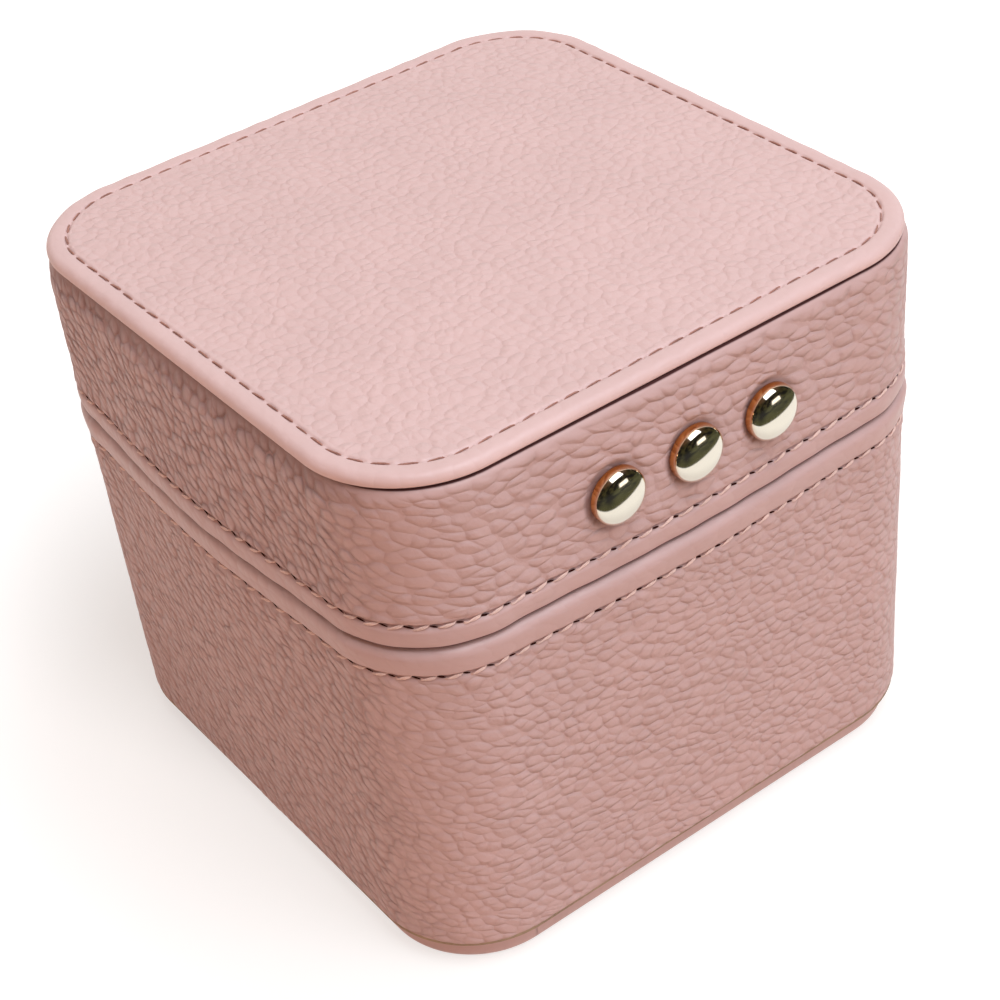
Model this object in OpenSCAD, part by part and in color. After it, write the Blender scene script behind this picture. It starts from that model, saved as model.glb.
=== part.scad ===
// Leather jewellery case: a stitched lid on two brass hinges, and a lift-out tray over a well.
// Millimetres. Origin at the middle of the underside, +Z up, studs on the -Y face.

/* [Case] */
// Width over the leather, left to right
case_w = 100; // [80:1:140]
// Depth over the leather, front to back
case_d = 100; // [80:1:140]
// Height from the table to the top panel
case_h = 90; // [80:1:120]
// Radius of the four upright corners
corner_r = 17.5; // [14:0.5:20]
// Height of the lid, from the seam to the top
lid_h = 27.7; // [27:0.1:32]
// Gap between lid and base when shut
seam_gap = 0.3; // [0.2:0.1:0.5]

/* [Walls] */
// Thickness of the leather
leather_t = 1.2; // [0.8:0.1:1.4]
// Thickness of the board under the leather
board_t = 2.8; // [2.6:0.1:3.2]
// Thickness of the velvet lining
lining_t = 0.8; // [0.4:0.1:1]
// Radius of the rolled rims on both sides of the seam
rim_roll_r = 1.3; // [1.2:0.1:2.2]
// Thickness of the floor board and the lid deck
deck_t = 2.4; // [2:0.1:3]

/* [Panels] */
// Thickness of the top panel
top_panel_t = 1.8; // [1.6:0.1:2.4]
// Step from the wall to the edge of the top panel
top_panel_inset = 0.6; // [0.3:0.1:1]
// Leather on the top panel
top_leather_t = 1; // [0.7:0.1:1]
// Thickness of the bottom panel
bottom_panel_t = 4.4; // [3.6:0.1:5]
// Step from the wall to the edge of the bottom panel
bottom_panel_inset = 1.5; // [1:0.1:2]

/* [Stitching] */
// Edge of the top panel to its stitching
panel_stitch_inset = 3.2; // [2.5:0.1:4]
// Seam up to the stitching on the lid
lid_stitch_up = 3.8; // [3:0.1:5]
// Seam down to the stitching on the base
base_stitch_down = 5; // [3:0.1:6]
// Thickness of the thread
thread_d = 0.6; // [0.4:0.1:0.7]

/* [Studs] */
// Diameter of a stud's dome
stud_d = 8.5; // [6:0.1:10]
// How far a dome stands out of the leather
stud_h = 2.6; // [2:0.1:3.5]
// Distance between studs
stud_pitch = 13.5; // [11:0.5:18]
// Height of the studs over the table
stud_z = 75; // [73:0.5:77]
// Sideways place of the middle stud
stud_shift = -0.7; // [-2:0.1:2]
// Radius of a stud's post
stud_post_r = 0.9; // [0.7:0.1:1.2]

/* [Hinges] */
// Width of one hinge
hinge_w = 18; // [14:1:20]
// Centre line of the case to the middle of each hinge
hinge_x = 20; // [14:1:22]
// Radius of the knuckles
knuckle_r = 1.4; // [1.3:0.1:1.6]
// How far the hinge axis stands behind the leather
hinge_out = 1.2; // [1.1:0.1:1.4]
// Radius of the hinge pins
hinge_pin_r = 0.6; // [0.5:0.05:0.7]
// Thickness of a hinge leaf
leaf_t = 0.8; // [0.6:0.1:0.9]

/* [Inside] */
// Height of the tray
tray_h = 15; // [13:0.5:15]
// Tray's rim below the base's rim
tray_drop = 4.65; // [4.65:0.05:6]
// Gap around the tray
tray_gap = 0.5; // [0.4:0.1:0.8]
// Number of ring rolls
roll_count = 4; // [3:1:4]
// Distance from one ring roll to the next
roll_pitch = 8.3; // [7.5:0.1:8.3]
// Side of the square mirror
mirror_w = 66; // [50:1:68]

/* [Hidden] */
$fn = 64;

// Heights
seam_z = case_h - lid_h;
base_top = seam_z - seam_gap/2;
lid_bottom = seam_z + seam_gap/2;
panel_z = case_h - top_panel_t;
lid_deck_top = panel_z - leather_t;
lid_deck_bottom = lid_deck_top - deck_t;
lid_ceiling = lid_deck_bottom - lining_t;
floor_top = bottom_panel_t + deck_t;
lined_floor = floor_top + lining_t;
tray_top = base_top - tray_drop;
tray_bottom = tray_top - tray_h;

// Steps in from the outside of the wall
board_out = leather_t;
board_in = leather_t + board_t;
lining_in = board_in + lining_t;
ledge_w = 1.8;
ledge_in = lining_in + ledge_w;
turn_in = 9;
band_w = 8;

// Corner centres, which every step in shares
corner_x = case_w/2 - corner_r;
corner_y = case_d/2 - corner_r;
board_roll_r = rim_roll_r - leather_t;

// Shades
pink = [0.85, 0.69, 0.66];
card = [0.62, 0.5, 0.38];
velvet = [0.93, 0.88, 0.82];
thread = [0.72, 0.53, 0.47];
gold = [0.86, 0.73, 0.5];
steel = [0.7, 0.7, 0.72];

// ---------- shapes that repeat ----------

// Outline of the case, stepped in by inset
module outline(inset) {
    r = corner_r - inset;
    square([case_w - 2*corner_r, case_d - 2*inset], center = true);
    square([case_w - 2*inset, case_d - 2*corner_r], center = true);
    for (sx = [-1, 1], sy = [-1, 1])
        translate([sx*corner_x, sy*corner_y]) circle(r);
}

// Solid slab of the case's outline between two heights
module plate(inset, z0, z1) {
    translate([0, 0, z0]) linear_extrude(z1 - z0) outline(inset);
}

// Upright wall of the case's outline between two steps in
module ring(inset0, inset1, z0, z1) {
    translate([0, 0, z0]) linear_extrude(z1 - z0) difference() {
        outline(inset0);
        outline(inset1);
    }
}

// Carries a section once around the case: its x is the step in from the wall, its y the height
module around() {
    for (i = [0:3]) {
        sx = (i == 0 || i == 3) ? 1 : -1;
        sy = (i < 2) ? 1 : -1;
        translate([sx*corner_x, sy*corner_y, 0]) rotate([0, 0, 90*i])
            rotate_extrude(angle = 90) translate([corner_r, 0]) mirror([1, 0]) children();
        run = (i % 2 == 0) ? case_d - 2*corner_r : case_w - 2*corner_r;
        reach = (i % 2 == 0) ? case_w/2 : case_d/2;
        rotate([0, 0, 90*i]) translate([reach, run/2, 0]) rotate([90, 0, 0])
            linear_extrude(run) mirror([1, 0]) children();
    }
}

// Rectangle of a section, with its outer corner rounded at the bottom and at the top
module section(in0, in1, z0, z1, low_r, high_r) {
    difference() {
        translate([in0, z0]) square([in1 - in0, z1 - z0]);
        if (low_r > 0) difference() {
            translate([in0 - 1, z0 - 1]) square(low_r + 1);
            translate([in0 + low_r, z0 + low_r]) circle(low_r);
        }
        if (high_r > 0) difference() {
            translate([in0 - 1, z1 - high_r]) square(high_r + 1);
            translate([in0 + high_r, z1 - high_r]) circle(high_r);
        }
    }
}

// Square plate with round corners, standing on z0
module pane(w, r, z0, t) {
    translate([0, 0, z0]) linear_extrude(t) {
        square([w - 2*r, w], center = true);
        square([w, w - 2*r], center = true);
        for (sx = [-1, 1], sy = [-1, 1])
            translate([sx*(w/2 - r), sy*(w/2 - r)]) circle(r);
    }
}

// ---------- stitching ----------

groove_r = thread_d/2 + 0.02;
panel_stitch_in = top_panel_inset + panel_stitch_inset;
lid_stitch_z = seam_z + lid_stitch_up;
base_stitch_z = seam_z - base_stitch_down;
thread_sink = thread_d/2 - 0.1;

// Groove that the stitching is pulled into, cut from a section
module groove(x, z) {
    translate([x, z]) circle(groove_r, $fn = 24);
}

// One row of thread, lying in its groove around the case
module thread_row(x, z) {
    color(thread) around() translate([x, z]) circle(thread_d/2, $fn = 24);
}

// ---------- hinges ----------

axis_y = case_d/2 + hinge_out;
leaf_y = case_d/2 - 3.8;
leaf_edge = case_d/2 - 0.5;
knuckle_clear = 0.3;
knuckle_gap = 0.2;
lid_knuckle_w = 5.8;
side_knuckle_w = (hinge_w - lid_knuckle_w)/2 - knuckle_gap;
pin_press = 0.02;
pin_run = 0.05;
nail_r = 0.5;
nail_head_r = 1;
nail_head_t = 0.4;
nail_l = 4.2;
nail_x = 6;
nail_y = case_d/2 - 2.2;
nail_clear = 0.02;

// Bar along X between two places, round about the hinge axis
module axle(x0, x1, r) {
    translate([x0, axis_y, seam_z]) rotate([0, 90, 0]) cylinder(h = x1 - x0, r = r);
}

module each_hinge() {
    for (side = [-1, 1]) translate([side*hinge_x, 0, 0]) children();
}

// Room around both hinges: for the knuckles, and for the leaves let into the rims
module hinge_room() {
    each_hinge() {
        axle(-hinge_w/2 - knuckle_clear, hinge_w/2 + knuckle_clear, knuckle_r + knuckle_clear);
        translate([-hinge_w/2 - 0.1, leaf_y - 0.1, seam_z - seam_gap/2 - leaf_t])
            cube([hinge_w + 0.2, 10, seam_gap + 2*leaf_t]);
    }
}

// Nail holes through a rim, from the height z downwards or upwards
module nail_holes(z, up) {
    each_hinge() for (sx = [-1, 1])
        translate([sx*nail_x, nail_y, up ? z - 1 : z - nail_l - 0.1])
            cylinder(h = nail_l + 1.1, r = nail_r + nail_clear);
}

// One leaf: flat plate, tongues and knuckles between the given places along X
module leaf(spans, z, bore_r, head_z) {
    difference() {
        union() {
            translate([-hinge_w/2, leaf_y, z]) cube([hinge_w, leaf_edge - leaf_y, leaf_t]);
            for (s = spans) {
                translate([s[0], leaf_edge - 0.5, z])
                    cube([s[1] - s[0], axis_y - leaf_edge + 0.5, leaf_t]);
                axle(s[0], s[1], knuckle_r);
            }
        }
        axle(-hinge_w, hinge_w, bore_r);
        for (sx = [-1, 1]) translate([sx*nail_x, nail_y, 0]) {
            translate([0, 0, z - 1]) cylinder(h = leaf_t + 2, r = nail_r + nail_clear);
            translate([0, 0, head_z]) cylinder(h = nail_head_t, r = nail_head_r + nail_clear);
        }
    }
}

// One nail, head up
module nail() {
    translate([0, 0, -nail_l]) cylinder(h = nail_l, r = nail_r);
    translate([0, 0, -nail_head_t]) cylinder(h = nail_head_t, r = nail_head_r);
}

module base_hinge_leaves() {
    x1 = hinge_w/2;
    x0 = x1 - side_knuckle_w;
    color(gold) each_hinge()
        leaf([[-x1, -x0], [x0, x1]], base_top - leaf_t, hinge_pin_r + pin_press,
            base_top - nail_head_t);
}

module lid_hinge_leaves() {
    x1 = lid_knuckle_w/2;
    color(gold) each_hinge()
        leaf([[-x1, x1]], lid_bottom, hinge_pin_r + pin_run, lid_bottom);
}

module hinge_pins() {
    color(steel) each_hinge() axle(-hinge_w/2 - 0.2, hinge_w/2 + 0.2, hinge_pin_r);
}

module base_hinge_nails() {
    color(gold) each_hinge() for (sx = [-1, 1])
        translate([sx*nail_x, nail_y, base_top]) nail();
}

module lid_hinge_nails() {
    color(gold) each_hinge() for (sx = [-1, 1])
        translate([sx*nail_x, nail_y, lid_bottom]) mirror([0, 0, 1]) nail();
}

// ---------- magnets that hold the lid shut ----------

magnet_w = 10;
magnet_t = 1.9;
magnet_h = 1.9;
magnet_x = 24;
magnet_clear = 0.1;
magnet_y = -case_d/2 + leather_t + board_t/2;

// Two bars standing on z0 in the front wall, grown by extra on each side
module magnet_bars(z0, extra) {
    for (side = [-1, 1])
        translate([side*magnet_x, magnet_y, z0 + magnet_h/2])
            cube([magnet_w + 2*extra, magnet_t + 2*extra, magnet_h + 2*extra], center = true);
}

base_magnet_z = base_top - leather_t - magnet_clear - magnet_h;
lid_magnet_z = lid_bottom + leather_t + magnet_clear;

module base_magnets() {
    color(steel) magnet_bars(base_magnet_z, 0);
}

module lid_magnets() {
    color(steel) magnet_bars(lid_magnet_z, 0);
}

// ---------- base ----------

module bottom_board() {
    color(card) plate(bottom_panel_inset + leather_t, leather_t, bottom_panel_t);
}

module bottom_leather() {
    in0 = bottom_panel_inset;
    color(pink) {
        around() difference() {
            section(in0, band_w, 0, bottom_panel_t, 1.5, 0.6);
            translate([in0 + leather_t, leather_t]) square([band_w, bottom_panel_t]);
        }
        plate(band_w, 0, leather_t);
    }
}

module base_shell() {
    color(card) difference() {
        union() {
            around() section(board_out, board_in, bottom_panel_t, base_top - leather_t,
                0, board_roll_r);
            plate(board_in, bottom_panel_t, floor_top);
        }
        magnet_bars(base_magnet_z, magnet_clear);
        nail_holes(base_top, false);
    }
}

module base_leather() {
    color(pink) difference() {
        around() difference() {
            section(0, board_in, bottom_panel_t, base_top, 1, rim_roll_r);
            section(board_out, board_in + 1, bottom_panel_t - 1, base_top - leather_t,
                0, board_roll_r);
            groove(thread_sink, base_stitch_z);
        }
        hinge_room();
        nail_holes(base_top, false);
    }
}

module base_thread() {
    thread_row(thread_sink, base_stitch_z);
}

module base_lining() {
    color(velvet) {
        ring(board_in, lining_in, floor_top, base_top - 0.6);
        plate(lining_in, floor_top, lined_floor);
    }
}

module tray_ledge() {
    color(velvet) ring(lining_in, ledge_in, lined_floor, tray_bottom);
}

pad_gap = 0.2;
pad_t = 3;

module well_pad() {
    color(velvet) plate(ledge_in + pad_gap, lined_floor, lined_floor + pad_t);
}

// ---------- lid ----------

washer_t = 0.6;
washer_r = 3;
post_clear = 0.05;
stud_cap_r = (stud_d*stud_d/4 + stud_h*stud_h)/(2*stud_h);

// Places something at each stud, with its +Z pointing out of the front face
module each_stud() {
    for (i = [-1:1])
        translate([stud_shift + i*stud_pitch, -case_d/2, stud_z]) rotate([90, 0, 0]) children();
}

module lid_shell() {
    color(card) difference() {
        union() {
            around() section(board_out, board_in, lid_bottom + leather_t, lid_deck_top,
                board_roll_r, 0);
            plate(board_in, lid_deck_bottom, lid_deck_top);
        }
        magnet_bars(lid_magnet_z, magnet_clear);
        nail_holes(lid_bottom, true);
        each_stud() {
            translate([0, 0, -board_in - 1]) cylinder(h = board_in, r = stud_post_r + post_clear);
            translate([0, 0, -board_in - 1]) cylinder(h = 1 + washer_t, r = washer_r + post_clear);
        }
    }
}

module lid_leather() {
    color(pink) difference() {
        around() difference() {
            section(0, turn_in, lid_bottom, panel_z, rim_roll_r, 1);
            section(board_out, turn_in + 1, lid_bottom + leather_t, lid_deck_top,
                board_roll_r, 0);
            translate([board_in, lid_bottom - 1]) square([turn_in, leather_t + 2]);
            groove(thread_sink, lid_stitch_z);
        }
        hinge_room();
        nail_holes(lid_bottom, true);
        each_stud() translate([0, 0, -leather_t - 1])
            cylinder(h = leather_t + 2, r = stud_post_r + post_clear);
    }
}

module lid_thread() {
    thread_row(thread_sink, lid_stitch_z);
}

module lid_lining() {
    color(velvet) {
        ring(board_in, lining_in, lid_bottom + 0.6, lid_deck_bottom);
        plate(lining_in, lid_ceiling, lid_deck_bottom);
    }
}

module panel_padding() {
    color(velvet) plate(turn_in + 0.3, lid_deck_top, panel_z);
}

module panel_board() {
    color(card) plate(top_panel_inset + top_leather_t, panel_z, case_h - top_leather_t);
}

module panel_leather() {
    in0 = top_panel_inset;
    color(pink) {
        around() difference() {
            section(in0, band_w, panel_z, case_h, 0.5, 1);
            translate([in0 + top_leather_t, panel_z - 1])
                square([band_w, 1 + top_panel_t - top_leather_t]);
            groove(panel_stitch_in, case_h - thread_sink);
        }
        plate(band_w, case_h - top_leather_t, case_h);
    }
}

module panel_thread() {
    thread_row(panel_stitch_in, case_h - thread_sink);
}

module lid_studs() {
    color(gold) each_stud() {
        intersection() {
            translate([0, 0, stud_h - stud_cap_r]) sphere(stud_cap_r);
            cylinder(h = stud_h + 1, r = stud_d/2 + 1);
        }
        translate([0, 0, -board_in]) cylinder(h = board_in + 0.5, r = stud_post_r);
    }
}

module stud_washers() {
    color(steel) each_stud() translate([0, 0, -board_in]) difference() {
        cylinder(h = washer_t, r = washer_r);
        translate([0, 0, -1]) cylinder(h = washer_t + 2, r = stud_post_r + 0.02);
    }
}

mirror_t = 1.5;
mirror_corner_r = 6;
frame_t = 2;
frame_lip = 2;
frame_edge = 5;
mirror_clear = 0.1;

module lid_mirror() {
    color([0.8, 0.84, 0.88]) pane(mirror_w, mirror_corner_r, lid_ceiling - mirror_t, mirror_t);
}

module mirror_frame() {
    color(velvet) difference() {
        pane(mirror_w + 2*frame_edge, mirror_corner_r + frame_edge, lid_ceiling - frame_t, frame_t);
        pane(mirror_w - 2*frame_lip, mirror_corner_r - frame_lip, lid_ceiling - frame_t - 1,
            frame_t + 2);
        pane(mirror_w + 2*mirror_clear, mirror_corner_r + mirror_clear,
            lid_ceiling - mirror_t - mirror_clear, mirror_t + 1);
    }
}

// ---------- tray ----------

tray_in0 = lining_in + tray_gap;
tray_wall_t = 1.6;
tray_in1 = tray_in0 + tray_wall_t;
tray_lining_t = 0.6;
tray_in = tray_in1 + tray_lining_t;
tray_floor = tray_bottom + tray_wall_t + tray_lining_t;
tray_half_w = case_w/2 - tray_in;
tray_half_d = case_d/2 - tray_in;
divider_t = 1.6;
divider_h = 10.5;
cross_y = -tray_half_d + roll_count*roll_pitch + 0.2;
soft_gap = 0.15;

module tray_shell() {
    color(card) {
        ring(tray_in0, tray_in1, tray_bottom, tray_top);
        plate(tray_in1, tray_bottom, tray_bottom + tray_wall_t);
    }
}

module tray_lining() {
    color(velvet) {
        ring(tray_in1, tray_in, tray_bottom + tray_wall_t, tray_top - 0.4);
        plate(tray_in, tray_bottom + tray_wall_t, tray_floor);
    }
}

module tray_cross_divider() {
    color(velvet) translate([-tray_half_w, cross_y, tray_floor])
        cube([2*tray_half_w, divider_t, divider_h]);
}

module tray_mid_divider() {
    back_y = cross_y + divider_t;
    color(velvet) translate([-divider_t/2, back_y, tray_floor])
        cube([divider_t, tray_half_d - back_y, divider_h]);
}

roll_w = roll_pitch - 2*soft_gap;
roll_h = 11.3;

// Section of a ring roll: upright sides under a round top
module roll_section() {
    translate([-roll_w/2, 0]) square([roll_w, roll_h - roll_w/2]);
    translate([0, roll_h - roll_w/2]) circle(roll_w/2);
}

module ring_rolls() {
    color(velvet) intersection() {
        for (i = [0:roll_count - 1])
            translate([-tray_half_w, -tray_half_d + (i + 0.5)*roll_pitch, tray_floor])
                rotate([90, 0, 90]) linear_extrude(2*tray_half_w) roll_section();
        plate(tray_in + soft_gap, tray_floor, tray_top);
    }
}

tray_pad_t = 1.5;

module tray_pads() {
    back_y = cross_y + divider_t + soft_gap;
    color(velvet) intersection() {
        for (side = [-1, 1])
            translate([side > 0 ? divider_t/2 + soft_gap : -tray_half_w, back_y, tray_floor])
                cube([tray_half_w - divider_t/2 - soft_gap, tray_half_d - back_y, tray_pad_t]);
        plate(tray_in + soft_gap, tray_floor, tray_top);
    }
}

tab_w = 10;
tab_t = 0.6;
tab_rise = 3.8;
tab_low = 8;

// Ribbon tabs glued inside the left and right walls of the tray
module tray_tabs() {
    color(pink) for (side = [-1, 1])
        translate([side*(tray_half_w - tab_t/2), 0, tray_top])
            rotate([90, 0, 90]) translate([0, 0, -tab_t/2]) linear_extrude(tab_t) {
                translate([-tab_w/2, -tab_low]) square([tab_w, tab_low + tab_rise - tab_w/2]);
                translate([0, tab_rise - tab_w/2]) circle(tab_w/2);
            }
}

bottom_board();
bottom_leather();
base_shell();
base_leather();
base_thread();
base_lining();
tray_ledge();
well_pad();
base_magnets();
base_hinge_leaves();
hinge_pins();
base_hinge_nails();
lid_shell();
lid_leather();
lid_thread();
lid_lining();
lid_magnets();
panel_padding();
panel_board();
panel_leather();
panel_thread();
lid_studs();
stud_washers();
lid_mirror();
mirror_frame();
lid_hinge_leaves();
lid_hinge_nails();
tray_shell();
tray_lining();
tray_cross_divider();
tray_mid_divider();
ring_rolls();
tray_pads();
tray_tabs();
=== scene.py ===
import math

import bpy
import numpy as np
from mathutils import Matrix, Vector


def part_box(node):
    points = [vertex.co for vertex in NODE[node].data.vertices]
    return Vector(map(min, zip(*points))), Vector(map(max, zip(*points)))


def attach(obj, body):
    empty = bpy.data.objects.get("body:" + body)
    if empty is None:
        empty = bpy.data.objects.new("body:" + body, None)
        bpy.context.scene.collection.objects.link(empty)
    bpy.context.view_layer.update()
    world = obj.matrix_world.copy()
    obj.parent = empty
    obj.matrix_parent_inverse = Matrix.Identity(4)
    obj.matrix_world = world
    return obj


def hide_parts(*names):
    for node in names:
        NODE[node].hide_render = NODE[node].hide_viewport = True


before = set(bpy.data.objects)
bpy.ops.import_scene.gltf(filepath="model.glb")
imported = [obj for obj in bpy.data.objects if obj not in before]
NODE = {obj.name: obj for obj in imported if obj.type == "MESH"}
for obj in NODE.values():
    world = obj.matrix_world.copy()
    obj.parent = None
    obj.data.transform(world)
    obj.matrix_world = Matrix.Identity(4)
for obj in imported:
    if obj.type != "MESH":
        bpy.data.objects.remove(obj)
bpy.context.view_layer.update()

RNG = np.random.default_rng(7)
PI = math.pi


def size(node):
    """Lowest and highest corner of a CAD node, in millimetres."""
    lo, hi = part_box(node)
    return np.array(lo) * 1000, np.array(hi) * 1000


# -------------------- sizes from the CAD, mm
base_lo, base_hi = size("base_leather")
lid_lo, lid_hi = size("lid_leather")
panel_lo, panel_hi = size("panel_leather")
foot_hi = size("bottom_leather")[1]
HALF = base_hi[0]
BASE_FOOT, BASE_RIM, LID_RIM, LID_TOP = base_lo[2], base_hi[2], lid_lo[2], lid_hi[2]
PANEL_LOW, TOP, FOOT_TOP = panel_lo[2], panel_hi[2], foot_hi[2]
SEAM = (BASE_RIM + LID_RIM) / 2
co = np.array([v.co for v in NODE["base_leather"].data.vertices]) * 1000
CORNER_C = co[co[:, 0] > HALF - 1e-3, 1].max()  # half of a side's straight part
CORNER_R = HALF - CORNER_C
BASE_ROW = np.mean(size("base_thread"), 0)[2]
LID_ROW = np.mean(size("lid_thread"), 0)[2]
PANEL_IN = HALF - panel_hi[0]
PANEL_ROW = HALF - size("panel_thread")[1][0] + 0.3
FOOT_IN = HALF - foot_hi[0]
AXIS_Y = np.mean(size("hinge_pins"), 0)[1]
leaf_lo, leaf_hi = size("base_hinge_leaves")
HINGE_W = 18.0
HINGE_X = leaf_hi[0] - HINGE_W / 2
stud_lo, stud_hi = size("lid_studs")
STUD_R = (stud_hi[2] - stud_lo[2]) / 2
STUD_Z = (stud_hi[2] + stud_lo[2]) / 2
STUD_X = (stud_hi[0] + stud_lo[0]) / 2
STUD_PITCH = (stud_hi[0] - stud_lo[0]) / 2 - STUD_R


# -------------------- helpers
def smooth_step(x, a, b):
    """0 to 1 as x goes from a to b, with soft ends."""
    t = np.clip((np.asarray(x, float) - a) / (b - a), 0, 1)
    return t * t * (3 - 2 * t)


def bump(x, centre, width):
    return np.exp(-(((x - centre) / width) ** 2))


def steps(a, b, pitch):
    """Even places from a to b, about pitch apart."""
    return np.linspace(a, b, max(2, int(round(abs(b - a) / pitch)) + 1))


def arc(ci, cz, r, a0, a1, n):
    """n points round (ci, cz), from a0 to a1 degrees."""
    a = np.radians(np.linspace(a0, a1, n))
    return [(ci + r * math.cos(t), cz + r * math.sin(t)) for t in a]


def unit(v):
    return v / np.linalg.norm(v, axis=-1, keepdims=True)


def stacked(xy, z):
    """Points of places xy at heights z."""
    return np.concatenate([xy, np.broadcast_to(z, xy.shape[:-1])[..., None]], -1)


UP = np.array([0, 0, 1.0])

# -------------------- outline of the case
N_SIDE, N_ARC = 149, 63
N_PATH = 4 * (N_SIDE + N_ARC)


def outline():
    """Points, outward normals, side (0 front, 1 right, 2 back, 3 left), place along the side and place round the
    corner, once around from the front left."""
    rows = []
    c = CORNER_C
    for k in range(4):
        a = math.radians(-90 + 90 * k)
        n = np.array([math.cos(a), math.sin(a)])
        t = np.array([-n[1], n[0]])
        for j in range(N_SIDE):
            rows.append((*(n * HALF + t * (2 * j / N_SIDE - 1) * c), *n, k, j / N_SIDE, 0))
        for j in range(N_ARC):
            b = a + PI / 2 * j / N_ARC
            m = np.array([math.cos(b), math.sin(b)])
            rows.append((*(n * c + t * c + m * CORNER_R), *m, k, 0, j / N_ARC))
    r = np.array(rows)
    return r[:, :2], r[:, 2:4], r[:, 4].astype(int), r[:, 5], r[:, 6]


PTS, NRM, SIDE, PLACE, BEND = outline()
# belly of the front, right, back and left wall, and how much the walls lean in towards the foot
BELLY = np.array([1.35, 1.35, 0.35, 1.7])[SIDE] * np.sin(PI * PLACE) ** 1.4
LEAN = 0.012
# share of the left side's rounder grain, deeper relief and painted shade, which fades out round that side's two
# corners
FINE = np.where(SIDE == 3, np.where(BEND > 0, 1 - 1.6 * BEND, 1.0), np.where(SIDE == 2, 1.6 * BEND - 0.6, 0.0))
FINE = smooth_step(FINE, 0, 1)
# how far the base's rim stands out past the lid's, less than nothing at the left, where the lid overhangs
LEDGE = np.array([0.3, 0.2, 0.0, -0.28])[SIDE] * np.sin(PI * PLACE) ** 0.6
# share of the painted shade in the crease under the panel: full at the front, less at the left
UNDER_PANEL_SHADE = 1 - 0.4 * FINE


def swell(z):
    """How the soft walls stand out from the straight ones: most at the seam, none at the foot and the top."""
    u = np.where(z > SEAM, (z - SEAM) / (TOP - SEAM), (SEAM - z) / SEAM)
    return 1 - np.clip(u, 0, 1) ** 1.5


def along(i, values):
    """Values of the outline at fractional places i."""
    i = i % N_PATH
    a = np.floor(i).astype(int)
    f = (i - a)[..., None] if values.ndim > 1 else i - a
    return values[a % N_PATH] * (1 - f) + values[(a + 1) % N_PATH] * f


def wall(i, inset, z, push=0.0):
    """Points of a wall at outline places i. Steps in, heights z and pushes out fit the shape of i."""
    step = np.where(z < SEAM, 1.0, -0.7) * bump(z, SEAM, 4.0)
    out = along(i, BELLY) * swell(z) + along(i, LEDGE) * step - LEAN * (TOP - z) - inset + push
    return stacked(along(i, PTS) + unit(along(i, NRM)) * out[..., None], z)


# -------------------- meshes
def mesh(name, co_mm, faces, mat=None, smooth=True):
    """An object from points in millimetres."""
    me = bpy.data.meshes.new(name)
    co = np.asarray(co_mm, float).reshape(-1, 3) / 1000
    faces = faces.tolist() if isinstance(faces, np.ndarray) else faces
    me.from_pydata(co.tolist(), [], faces)
    me.polygons.foreach_set("use_smooth", [smooth] * len(me.polygons))
    me.update()
    if mat:
        me.materials.append(mat)
    obj = bpy.data.objects.new(name, me)
    bpy.context.scene.collection.objects.link(obj)
    return obj


def grid_faces(rows, cols, closed=True):
    """Faces between rows of points; closed joins each row's last point to its first."""
    i = np.arange(rows - 1)[:, None] * cols
    j = np.arange(cols if closed else cols - 1)[None, :]
    k = (j + 1) % cols
    return np.stack([i + j, i + k, i + cols + k, i + cols + j], -1).reshape(-1, 4)


def cap(row, cols, turn=1):
    """A face across one row of a grid; turn -1 makes it look the other way."""
    return list(range(row * cols, (row + 1) * cols))[::turn]


def attribute(obj, name, values, kind="FLOAT", field="value"):
    at = obj.data.attributes.new(name, kind, "POINT")
    at.data.foreach_set(field, np.asarray(values, np.float32).ravel())


def count_cells(obj, cells):
    attribute(obj, "grain", cells, "FLOAT_VECTOR", "vector")


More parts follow.
